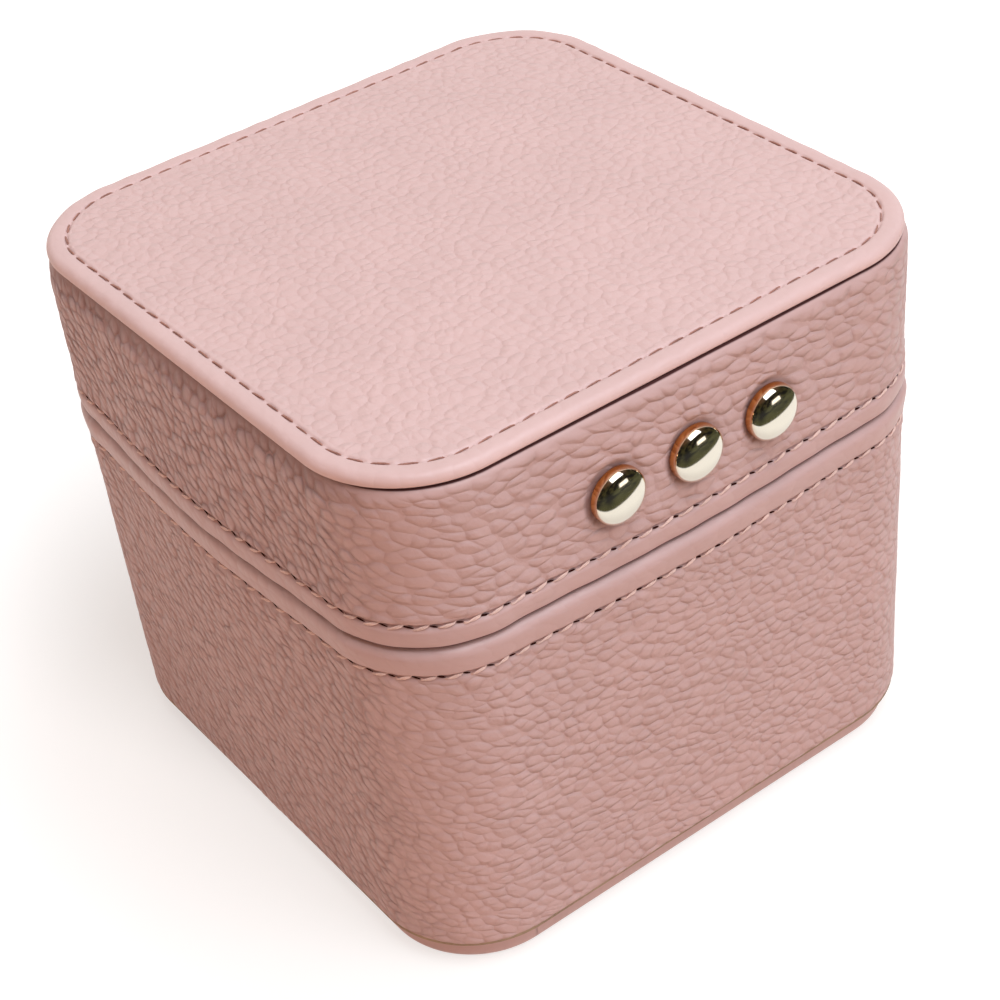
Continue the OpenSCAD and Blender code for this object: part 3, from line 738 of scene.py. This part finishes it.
def eyes(name, centre, run, across, lift, a, b, mat):
    """Needle holes: small dished lens shapes of half lengths a along run and half widths b across it."""
    k = 12
    t = np.arange(k) / k * 2 * PI
    lens = np.sign(np.sin(t)) * np.abs(np.sin(t)) ** 1.3
    rings = []
    for s, d in ((1.0, 0.0), (0.6, -0.08), (0.2, -0.14)):
        rings.append(centre[:, None, :] + run[:, None, :] * (a[:, None] * s * np.cos(t))[..., None]
                     + across[:, None, :] * (b[:, None] * s * lens)[..., None] + lift[:, None, :] * d)
    eye = grid_faces(3, k).tolist() + [cap(2, k)]
    faces = [[v + q * 3 * k for v in face] for q in range(len(centre)) for face in eye]
    return mesh(name, np.stack(rings, 1), faces, mat)


def wall_holes(name, row):
    n = STITCHES
    at = np.arange(n) * PITCH
    c = wall(at, 0.0, row + RNG.uniform(-0.05, 0.05, n), -0.24)
    nrm = stacked(unit(along(at, NRM)), 0.0)
    tan = np.stack([-nrm[:, 1], nrm[:, 0], np.zeros(n)], -1)
    w = np.radians(HOLE_LEAN + RNG.uniform(-6, 6, n))[:, None]
    run = tan * np.cos(w) + UP * np.sin(w)
    a = HOLE_LONG * RNG.uniform(0.75, 1.15, n)
    b = HOLE_WIDE * RNG.uniform(0.8, 1.2, n)
    # dark dishes of painted shade in the needle holes
    return eyes(name, c, run, np.cross(nrm, run), nrm, a, b, M_HOLE_SHADE)


lid_stitches = wall_stitches("lid_stitches", LID_ROW)
base_stitches = wall_stitches("base_stitches", BASE_ROW)
lid_holes = wall_holes("lid_needle_holes", LID_ROW)
base_holes = wall_holes("base_needle_holes", BASE_ROW)


def panel_point(s, extra):
    """Points of the top row at lengths s, stepped in by extra."""
    r = CORNER_R - PANEL_ROW
    quarter = 2 * CORNER_C + PI / 2 * r
    k = np.floor(s / quarter)
    t = s - k * quarter
    a = np.radians(-90 + 90 * k)
    b = np.maximum(t - 2 * CORNER_C, 0) / r
    u = np.minimum(t, 2 * CORNER_C) - CORNER_C + np.sin(b) * (r - extra)
    v = CORNER_C + np.cos(b) * (r - extra)
    return np.stack([v * np.cos(a) - u * np.sin(a), v * np.sin(a) + u * np.cos(a)], -1)


def top_stitches():
    m, n = 11, PANEL_COUNT
    u = np.linspace(-1, 1, m)[None, :]
    long = TOP_STITCH * (1 + RNG.uniform(-0.1, 0.08, (n, 1)))
    s = ((np.arange(n) + 0.5)[:, None] * PANEL_PITCH + u * long) % ROW_LEN
    tilt = RNG.uniform(0.0, 0.16, (n, 1))
    xy = panel_point(s, u * long * tilt + RNG.uniform(-0.06, 0.06, (n, 1)))
    c = stacked(xy, TOP - 0.32 + 0.2 * (1 - np.abs(u) ** 4))
    side, lift = off_line(c, UP)
    thick = np.where(xy[:, m // 2, 1] < -CORNER_C, 0.11, 0.14) * RNG.uniform(0.85, 1.15, n)
    # brown thread: painted shade of the slits
    return strands("panel_stitches", c, side, lift, thick, M_THREAD_SHADED)


panel_stitches = top_stitches()


# -------------------- studs
def turned(name, profile, places, mat):
    """Turned parts about -Y at the given (x, z) places. profile: (radius, distance out of the front face)."""
    k, n = 64, len(profile)
    t = np.arange(k) / k * 2 * PI
    r, d = np.array(profile).T[..., None]
    ring = np.stack(np.broadcast_arrays(r * np.cos(t), -HALF - d, r * np.sin(t)), -1).reshape(-1, 3)
    faces = []
    for q in range(len(places)):
        faces += (grid_faces(n, k) + q * n * k).tolist() + [cap(q * n, k, -1), cap(q * n + n - 1, k)]
    return mesh(name, np.concatenate([ring + (x, 0, z) for x, z in places]), faces, mat)


LIFT, SIDE_H, CAP_H = 0.35, 0.85, 2.05
dome = [(STUD_R * math.sin(a), LIFT + SIDE_H + CAP_H * math.cos(a)) for a in np.linspace(0.01, PI / 2, 40)]
dome += [(STUD_R, LIFT + SIDE_H * 0.6), (STUD_R, LIFT + 0.2), (STUD_R - 0.06, LIFT - 0.06), (STUD_R - 0.4, LIFT - 0.1)]
dome += [(1.2, LIFT - 0.1), (0.9, LIFT - 0.3), (0.9, -3.9), (0.7, -4.0)]
studs = turned("stud_domes", dome, [(STUD_X + q * STUD_PITCH, STUD_Z) for q in (-1, 0, 1)], M_GOLD)


# -------------------- linings and the tray
def soft_skin(name, profile, foot=False):
    """Velvet over board: rows of (step in, height) swept round the case, closed by a flat face at the last row, and
    at the first one too if it has a foot."""
    ins, z = np.array(profile, float).T
    i = np.arange(0, N_PATH, 4.0)
    s = i * STEP
    ripple = 0.05 * np.sin(s * 0.31 + 1.3) * np.sin(s * 0.123)
    step = np.minimum(ins, CORNER_R)[:, None] + ripple
    p = stacked(along(i, PTS) - unit(along(i, NRM)) * step[..., None], z[:, None])
    caps = [cap(0, len(i), -1)] * foot + [cap(len(z) - 1, len(i))]
    return mesh(name, p, grid_faces(len(z), len(i)).tolist() + caps, M_VELVET)


def shoulder(ci, cz, r):
    """A quarter round that starts above (ci, cz) and goes inwards, or below it and outwards if r is negative."""
    return [(ci + r * math.sin(t), cz + r * math.cos(t)) for t in (0, 0.5, 1.0, PI / 2)]


LINING, LEDGE_WALL, TRAY_WALL = 0.8, 1.8, 2.2  # thicknesses, mm
VELVET_R = 0.37  # of the lining's rounded rims, mm
lin_hi = size("base_lining")[1]
led_lo, led_hi = size("tray_ledge")
lin_in = HALF - lin_hi[0] + LINING
led_in = lin_in + LEDGE_WALL
floor_z = led_lo[2]
base_soft = [(lin_in - 0.75, lin_hi[2] - 1.5), (lin_in - 0.75, lin_hi[2] - 0.3)]
base_soft += arc(lin_in - 0.38, lin_hi[2] - 0.38, VELVET_R, 160, 0, 5)
base_soft += [(lin_in, z) for z in steps(lin_hi[2] - 2, led_hi[2] + 0.8, 2.0)]
base_soft += [(lin_in + 0.1, led_hi[2] + 0.3), (lin_in + 0.5, led_hi[2])]
base_soft += shoulder(led_in - 0.6, led_hi[2] - 0.6, 0.6)
base_soft += [(led_in, z) for z in steps(led_hi[2] - 3, floor_z + 2, 3.0)]
base_soft += [(led_in + 0.15, floor_z + 0.8), (led_in + 0.6, floor_z + 0.2), (led_in + 1.4, floor_z)]
base_soft += [(led_in + 4, floor_z)]
base_lining = soft_skin("base_lining_velvet", base_soft)

lid_low = size("lid_lining")[0][2]
gl_hi = size("lid_mirror")[1]
ceiling = gl_hi[2]
lid_soft = [(lin_in + 5, ceiling), (lin_in + 1.6, ceiling)]
lid_soft += [(lin_in + 0.7, ceiling - 0.2), (lin_in + 0.15, ceiling - 0.9)]
lid_soft += [(lin_in, z) for z in steps(ceiling - 2, lid_low + 1, 2.0)]
lid_soft += arc(lin_in - 0.38, lid_low + 0.38, VELVET_R, 360, 200, 5) + [(lin_in - 0.75, lid_low + 1.5)]
lid_lining = soft_skin("lid_lining_velvet", lid_soft[::-1])

tr_lo, tr_hi = size("tray_shell")
cr_lo, cr_hi = size("tray_cross_divider")
t_out = HALF - tr_hi[0]
t_in = t_out + TRAY_WALL
t_floor = cr_lo[2]
TRAY_ROLL = 1.1
tray_soft = [(t_out + 4, tr_lo[2]), (t_out + 1.6, tr_lo[2])] + shoulder(t_out + 0.8, tr_lo[2] + 0.8, -0.8)
tray_soft += [(t_out, z) for z in steps(tr_lo[2] + 1.5, tr_hi[2] - 1.3, 2.0)]
tray_soft += arc(t_out + TRAY_ROLL, tr_hi[2] - TRAY_ROLL, TRAY_ROLL, 180, 0, 11)
tray_soft += [(t_in, z) for z in steps(tr_hi[2] - 1.8, t_floor + 1.2, 1.8)]
tray_soft += [(t_in + 0.1, t_floor + 0.5), (t_in + 0.5, t_floor + 0.06), (t_in + 1.2, t_floor), (t_in + 4, t_floor)]
tray_soft_skin = soft_skin("tray_velvet", tray_soft, foot=True)


def slab(name, lo, hi, r, crown, n, radius, sag=0.0):
    """Soft block with upright corners of the given radius: round edges of radius r at its top, sides that draw in at
    the middle by sag, and a crowned top. n: steps along x and y."""
    (x0, y0, z0), (x1, y1, z1) = lo, hi
    nx, ny = n
    m = 2 * (nx + ny)
    u = np.concatenate([np.linspace(0, 1, nx + 1)[:-1], np.ones(ny), np.linspace(1, 0, nx + 1)[:-1], np.zeros(ny)])
    v = np.concatenate([np.zeros(nx), np.linspace(0, 1, ny + 1)[:-1], np.ones(nx), np.linspace(1, 0, ny + 1)[:-1]])
    drawn = sag * np.sin(PI * u) * (np.abs(v - 0.5) > 0.499) + sag * np.sin(PI * v) * (np.abs(u - 0.5) > 0.499)
    rings = []
    rims = [(0.0, z0 + (z1 - r - z0) * k / 3) for k in range(4)] + arc(r, z1 - r, r, 180, 90, 6)[1:]
    for step, z in rims:
        hx, hy = (x1 - x0) / 2 - step, (y1 - y0) / 2 - step
        x, y = (2 * u - 1) * hx, (2 * v - 1) * hy
        c = max(radius - step, 0.25)
        ex, ey = np.maximum(np.abs(x) - (hx - c), 0), np.maximum(np.abs(y) - (hy - c), 0)
        k = np.hypot(ex, ey)
        f = np.where(k > c, c / np.maximum(k, 1e-9), 1.0)
        x = np.sign(x) * (np.minimum(np.abs(x), hx - c) + ex * f)
        y = np.sign(y) * (np.minimum(np.abs(y), hy - c) + ey * f)
        q = 1 - drawn / np.maximum(np.hypot(x, y), 1)
        rings.append(np.stack([x * q, y * q, np.full(m, z)], -1))
    edge = rings[-1][:, :2]
    rings += [stacked(edge * k, z1 + crown * (1 - k ** 2.2)) for k in np.linspace(0.96, 0.08, 14)]
    p = np.stack(rings) + ((x0 + x1) / 2, (y0 + y1) / 2, 0)
    faces = grid_faces(len(rings), m).tolist() + [cap(0, m, -1), cap(len(rings) - 1, m)]
    return mesh(name, p, faces, M_VELVET)


well_lo, well_hi = size("well_pad")
pad = slab("well_pad_soft", well_lo, well_hi - (0, 0, 0.6), 1.1, 0.9, (40, 40), 10.6, sag=0.3)
tp_lo, tp_hi = size("tray_pads")
mid_lo, mid_hi = size("tray_mid_divider")
pads = [slab(name, (x0, *tp_lo[1:]), (x1, tp_hi[1], tp_hi[2] - 0.3), 0.7, 0.6, (24, 24), 7.0)
        for name, x0, x1 in (("tray_pad_left", tp_lo[0], mid_lo[0] - 0.15),
                             ("tray_pad_right", mid_hi[0] + 0.15, tp_hi[0]))]
cross = slab("cross_divider_velvet", cr_lo - (0.3, 0, 0), cr_hi + (0.3, 0, -0.1), 0.75, 0.1, (48, 4), 0.3)
mid = slab("mid_divider_velvet", mid_lo, mid_hi + (0, 0.3, -0.1), 0.75, 0.1, (4, 32), 0.3)

ro_lo, ro_hi = size("ring_rolls")


def ring_roll(name, y0, y1, k):
    """One ring roll: upright sides under a round top, with gathered ends and a few soft wrinkles."""
    half = ro_hi[0]
    corner = CORNER_R - (HALF - half)

    def reach(y):
        """Half length of the roll at the depth y, along the tray's round corners."""
        o = np.clip(np.abs(y) - (HALF - CORNER_R), 0, corner)
        return half - (corner - np.sqrt(np.maximum(corner ** 2 - o ** 2, 0)))

    r, middle = (y1 - y0) / 2, (y0 + y1) / 2
    straight = ro_hi[2] - ro_lo[2] - r
    length = 2 * straight + PI * r
    t = np.linspace(0, 1, 41)
    section = []
    for d in t * length:
        if d < straight:
            section.append((-r, d))
        elif d > length - straight:
            section.append((r, length - d))
        else:
            a = (d - straight) / r
            section.append((-r * math.cos(a), straight + r * math.sin(a)))
    sy, sz = np.array(section).T
    pts = []
    for x in np.linspace(-half, half, 121):
        end = 1 - min((half - abs(x)) / 1.6, 1)
        f = 0.55 + 0.45 * math.sqrt(max(0.0, 1 - end ** 2))
        soft = 1 - 0.012 * (1 + math.sin(x * 0.37 + k * 1.7) * math.sin(x * 0.151 + k))
        crease = 0.07 * math.sin(x * 1.9 + 4 * math.sin(x * 0.2 + k))
        z = sz * (1 - (1 - f) * 0.5) * soft + crease * 0.3 * np.sin(PI * t) ** 2
        pts.append(np.stack([x / half * reach(sy + middle), sy * f * soft + middle, z + ro_lo[2]], -1))
    n, m = len(pts), len(t)
    faces = grid_faces(n, m)[:, ::-1].tolist() + [cap(0, m, -1), cap(n - 1, m)]
    return mesh(name, pts, faces, M_VELVET)


ROLL_WIDTH = 8.3  # about, mm
N_ROLLS = int(round((cr_lo[1] - ro_lo[1]) / ROLL_WIDTH))
roll_pitch = (ro_hi[1] - ro_lo[1] + 0.3) / N_ROLLS
rolls = [ring_roll(f"ring_roll_{k + 1}", ro_lo[1] + k * roll_pitch + 0.02, ro_lo[1] + (k + 1) * roll_pitch - 0.32, k)
         for k in range(N_ROLLS)]

# padded frame round the mirror
fr_lo, fr_hi = size("mirror_frame")


def rounded_square(half, r):
    """Points once around a square with round corners."""
    c = half - r
    corners = [arc(x, y, r, a, a + 90, 10) for x, y, a in ((c, -c, -90), (c, c, 0), (-c, c, 90), (-c, -c, 180))]
    out = []
    for corner, after in zip(corners, corners[1:] + corners[:1]):
        p, q = np.array(corner[-1]), np.array(after[0])
        out += corner + [p + (q - p) * j / 24 for j in range(1, 24)]
    return np.array(out)


wide = fr_hi[0] - (gl_hi[0] - 2)
rings = []
for t in np.linspace(0, PI, 15):
    step = wide * (1 - math.cos(t)) / 2
    depth = (fr_hi[2] - fr_lo[2]) * math.sin(t) ** 0.6
    xy = rounded_square(fr_hi[0] - step, max(fr_hi[0] - gl_hi[0] + 6 - step, 3.0))
    rings.append(stacked(xy, fr_hi[2] - depth))
frame_soft = mesh("mirror_frame_padded", rings[::-1], grid_faces(len(rings), len(rings[0])), M_VELVET)

# ribbon loops: a strip folded double, with a small open fold at the top
tb_lo, tb_hi = size("tray_tabs")
z0, z1 = tb_lo[2], tb_hi[2]
leg = [z0 + (z1 - 1.6 - z0) * k / 12 for k in range(13)]
leg = [(-0.18 - 0.28 * smooth_step(z, z1 - 6, z1 - 1.2), z) for z in leg]
fold = [(-0.62 * math.cos(t), z1 - 1.1 + 1.05 * math.sin(t)) for t in np.linspace(0.1, PI - 0.1, 13)]
line = np.array(leg + fold + [(-x, z) for x, z in leg[::-1]])
tang = unit(np.gradient(line, axis=0))
nor = np.stack([-tang[:, 1], tang[:, 0]], -1) * 0.09
loop = np.concatenate([line + nor, (line - nor)[::-1]])
tabs = []
for name, side in (("ribbon_left", -1), ("ribbon_right", 1)):
    x_c = side * (tb_hi[0] - 0.3) - side * 0.15
    ys = np.linspace(-4.8, 4.8, 21)
    p = np.array([[(x_c + x, y, z + 0.04 * math.sin(y * 1.1 + z)) for x, z in loop] for y in ys])
    n, m = p.shape[:2]
    faces = grid_faces(n, m).tolist()
    for e, turn in ((0, 1), (n - 1, -1)):
        faces += [[e * m + v for v in (j, j + 1, m - 2 - j, m - 1 - j)][::turn] for j in range(m // 2 - 1)]
    tabs.append(mesh(name, p, faces, M_RIBBON))

# -------------------- pieces to bodies
for piece, body, nodes, slot in (
    (base_skin, "base", ["base_leather"], "pink_leather"),
    (foot_skin, "base", ["bottom_leather"], "pink_leather"),
    (lid_skin, "lid", ["lid_leather"], "pink_leather"),
    (panel_skin, "lid", ["panel_leather"], "pink_leather"),
    (base_stitches, "base", ["base_thread"], "thread"),
    (base_holes, "base", [], "thread"),
    (lid_stitches, "lid", ["lid_thread"], "thread"),
    (lid_holes, "lid", [], "thread"),
    (panel_stitches, "lid", ["panel_thread"], "thread"),
    (studs, "lid", ["lid_studs"], "gold"),
    (base_lining, "base", ["base_lining", "tray_ledge"], "velvet"),
    (lid_lining, "lid", ["lid_lining"], "velvet"),
    (frame_soft, "lid", ["mirror_frame"], "velvet"),
    (pad, "base", ["well_pad"], "velvet"),
    (tray_soft_skin, "tray", ["tray_shell", "tray_lining"], "velvet"),
    (cross, "tray", ["tray_cross_divider"], "velvet"),
    (mid, "tray", ["tray_mid_divider"], "velvet"),
    *((o, "tray", ["tray_pads"], "velvet") for o in pads),
    *((o, "tray", ["ring_rolls"], "velvet") for o in rolls),
    *((o, "tray", ["tray_tabs"], "ribbon") for o in tabs),
):
    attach(piece, body)
    if nodes:
        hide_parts(*nodes)

FINISH = {
    M_BOARD: ["bottom_board", "base_shell", "lid_shell", "panel_board", "tray_shell"],
    M_VELVET: ["base_lining", "tray_ledge", "lid_lining", "mirror_frame", "tray_lining", "tray_cross_divider",
               "tray_mid_divider", "ring_rolls", "tray_pads", "well_pad"],
    M_FOAM: ["panel_padding"],
    M_STEEL: ["base_magnets", "lid_magnets", "stud_washers", "hinge_pins"],
    M_BRASS: ["base_hinge_leaves", "base_hinge_nails", "lid_hinge_leaves", "lid_hinge_nails"],
    M_GLASS: ["lid_mirror"],
    M_RIBBON: ["tray_tabs"],
}
for mat, names in FINISH.items():
    for name in names:
        o = NODE[name]
        if not o.data.materials:
            o.data.materials.append(mat)
        for s in o.material_slots:
            s.material = mat

# -------------------- floor, light, camera
scene = bpy.context.scene
scene.view_settings.view_transform = "Standard"
FLOOR_HALF = 3000  # mm
floor = mesh("floor", [(x * FLOOR_HALF, y * FLOOR_HALF, -0.3) for x, y in ((-1, -1), (1, -1), (1, 1), (-1, 1))],
             [[0, 1, 2, 3]], smooth=False)


def rays(net):
    """Whether a ray is a camera's, mirror's or window's, and whether it is a mirror's."""
    path = net.add("ShaderNodeLightPath").outputs
    seen = net.math("MAXIMUM", path["Is Camera Ray"], path["Is Glossy Ray"])
    return net.math("MAXIMUM", seen, path["Is Transmission Ray"]), path["Is Glossy Ray"]


mat, net, sh = material("floor_white")
seen, mirrored = rays(net)
n = net.noise(net.place(), 3, 2)
# bounce light sees a warmer floor: this colour stands in for warm bounce light
near = net.mix(n, srgb(243, 207, 184), srgb(246, 210, 187))
net.put(sh.inputs["Base Color"], net.mix(seen, near, (0.42, 0.41, 0.40, 1)))
sh.inputs["Roughness"].default_value = 0.75
sh.inputs["Specular IOR Level"].default_value = 0.05
far = net.add("ShaderNodeVectorMath", operation="LENGTH")
net.put(far.inputs[0], net.place())
reach = far.outputs["Value"]
# the camera sees the floor glow less near the case and at its back left, and a little warmer close to it: a painted
# shadow
net.put(sh.inputs["Emission Color"], net.mix(net.span(reach, 0.06, 0.11), (1.0, 0.982, 0.965, 1), (1, 1, 1, 1)))
front = net.fma(net.part(net.place(), 1), -0.8, reach)
glow = net.math("ADD", net.span(front, 0.02, 0.045, 0.55, 0.69), net.span(reach, 0.07, 0.13, 0.0, 0.19))
glow = net.math("SUBTRACT", glow, net.mul(mirrored, 0.2))
net.put(sh.inputs["Emission Strength"], net.mul(seen, glow))
floor.data.materials.append(mat)

world = bpy.data.worlds.new("studio")
scene.world = world
world.use_nodes = True
net = Net(world.node_tree)
bg = world.node_tree.nodes["Background"]
seen = rays(net)[0]
net.put(bg.inputs["Color"], net.mix(seen, (1.0, 0.77, 0.645, 1), (1, 1, 1, 1)))
net.put(bg.inputs["Strength"], net.fma(seen, 0.66, 0.34))

# painted reflections that only polished surfaces see: a dark card painted as the room, and a glowing window card, no
# lamp, that puts the highlight in the studs
angles = np.radians(np.linspace(-180, 0, 31))
near_edge = 0.14 + 0.1 * smooth_step(angles, math.radians(-110), math.radians(-20))
rows = [(near_edge, 0.004), (near_edge + 0.3, 0.03), (1.25, 0.2), (1.2, 0.7), (0.9, 1.2), (0.45, 1.5), (0.05, 1.6)]
card = []
for rr, h in rows:
    card += [(r * math.cos(a) * 1000, r * math.sin(a) * 1000, h * 1000) for r, a in zip(rr * np.ones(31), angles)]
card = mesh("dark_card", card, grid_faces(len(rows), 31, closed=False))
mat, net, sh = material("card_dark")
n = net.span(net.noise(net.place(), 3.4, 2), 0.38, 0.62)
room = net.mix(n, srgb(12, 8, 6), srgb(76, 76, 44))
up = net.span(net.part(net.place(), 2), 0.75, 1.2)
net.put(sh.inputs["Base Color"], net.mix(up, room, srgb(120, 104, 84)))
sh.inputs["Roughness"].default_value = 0.9
card.data.materials.append(mat)
pane = mesh("window_card", [(200, -960, 25), (560, -820, 25), (520, -740, 330), (180, -880, 320)], [[0, 1, 2, 3]],
            smooth=False)
mat, net, sh = material("window_glow")
n = net.span(net.noise(net.place(), 14, 2), 0.3, 0.7)
net.put(sh.inputs["Emission Color"], net.mix(n, (0.9, 0.95, 0.9, 1), (1, 1, 1, 1)))
sh.inputs["Emission Strength"].default_value = 1.1
pane.data.materials.append(mat)
for o in (card, pane):
    o.visible_camera = o.visible_diffuse = o.visible_shadow = o.visible_transmission = False


def lamp(name, place, w, h, watts, colour, aim=(0, 0, 0.05)):
    d = bpy.data.lights.new(name, "AREA")
    d.shape = "RECTANGLE"
    d.size, d.size_y = w, h
    d.energy = watts
    d.color = colour
    o = bpy.data.objects.new(name, d)
    o.location = place
    o.rotation_euler = (Vector(aim) - Vector(place)).to_track_quat("-Z", "Y").to_euler()
    scene.collection.objects.link(o)
    return o


lamp("key", (0.12, -0.42, 0.95), 0.75, 0.75, 7.7, (0.93, 1.0, 1.08))
lamp("front", (0.4, -0.95, 0.5), 0.5, 0.6, 2.0, (0.86, 1.09, 1.25)).visible_glossy = False
lamp("left", (-0.8, -0.1, 0.3), 0.5, 0.4, 0.6, (1.0, 0.47, 0.29)).visible_glossy = False
lamp("back", (0.35, 0.9, 0.55), 0.7, 0.5, 1.6, (1.0, 0.97, 0.93)).visible_glossy = False

# the photo's camera, from the fit: angles in degrees, the place it looks at and its distance in metres
CAM_ANGLES, CAM_AIM, CAM_DISTANCE = (-33.114, 36.845, -6.688), (0.044644, 0.067501, -0.021984), 0.45
CAM_FOCAL_PX, CAM_SENSOR = 2196.67, 36.0
cam_data = bpy.data.cameras.new("photo")
cam = bpy.data.objects.new("photo", cam_data)
scene.collection.objects.link(cam)
scene.camera = cam
az, el, roll = (math.radians(v) for v in CAM_ANGLES)
back = Vector((math.sin(az) * math.cos(el), -math.cos(az) * math.cos(el), math.sin(el)))
right = (-back).cross(Vector((0, 0, 1))).normalized()
up = right.cross(-back)
r2 = right * math.cos(roll) + up * math.sin(roll)
u2 = up * math.cos(roll) - right * math.sin(roll)
cam.matrix_world = Matrix((r2, u2, back)).transposed().to_4x4()
cam.location = Vector(CAM_AIM) + back * CAM_DISTANCE
cam_data.sensor_width = CAM_SENSOR
cam_data.lens = CAM_FOCAL_PX * CAM_SENSOR / 1000
cam_data.clip_start, cam_data.clip_end = 0.01, 20
